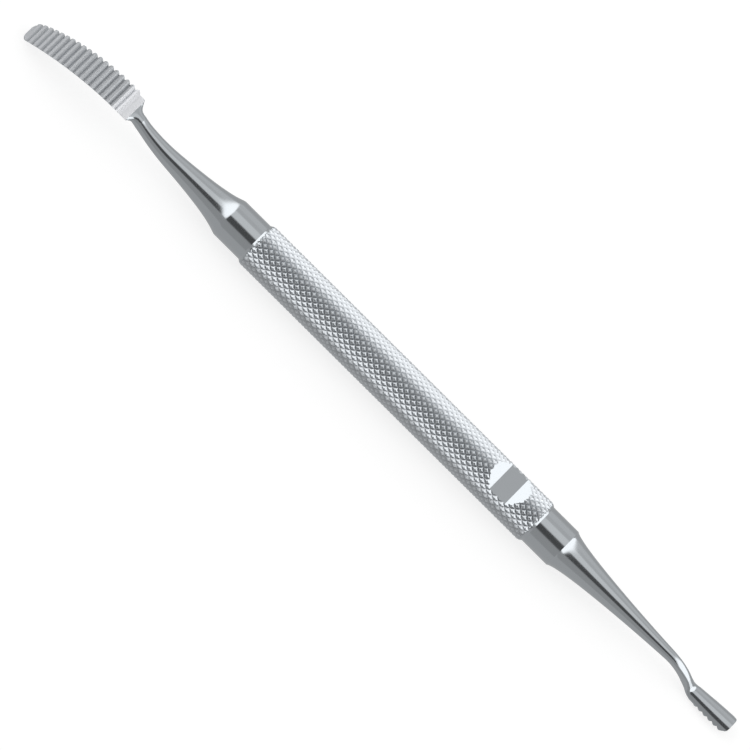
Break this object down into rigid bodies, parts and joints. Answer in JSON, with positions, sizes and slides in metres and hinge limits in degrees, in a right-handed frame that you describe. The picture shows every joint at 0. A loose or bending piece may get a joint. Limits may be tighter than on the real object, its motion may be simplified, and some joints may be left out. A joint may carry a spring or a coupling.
{
  "type": "double-ended bone file",
  "caption": "Slim steel hand file: a knurled round grip with a long curved cross-cut file at one end and a short paddle-shaped one, offset on a bent neck, at the other.",
  "frame": {"origin": "on the axis of the knurled grip, half way along it", "axes": "+X along the grip towards the small file, +Z out of the toothed face of the large file at its highest point and out of the label flat, +Y to the left of someone who looks along +X"},
  "size_m": [0.1748, 0.009, 0.009],
  "materials": {
    "steel": "polished stainless steel with a faint turned grain"
  },
  "bodies": {
    "root": {"bone_file": "steel"}
  },
  "joints": []
}
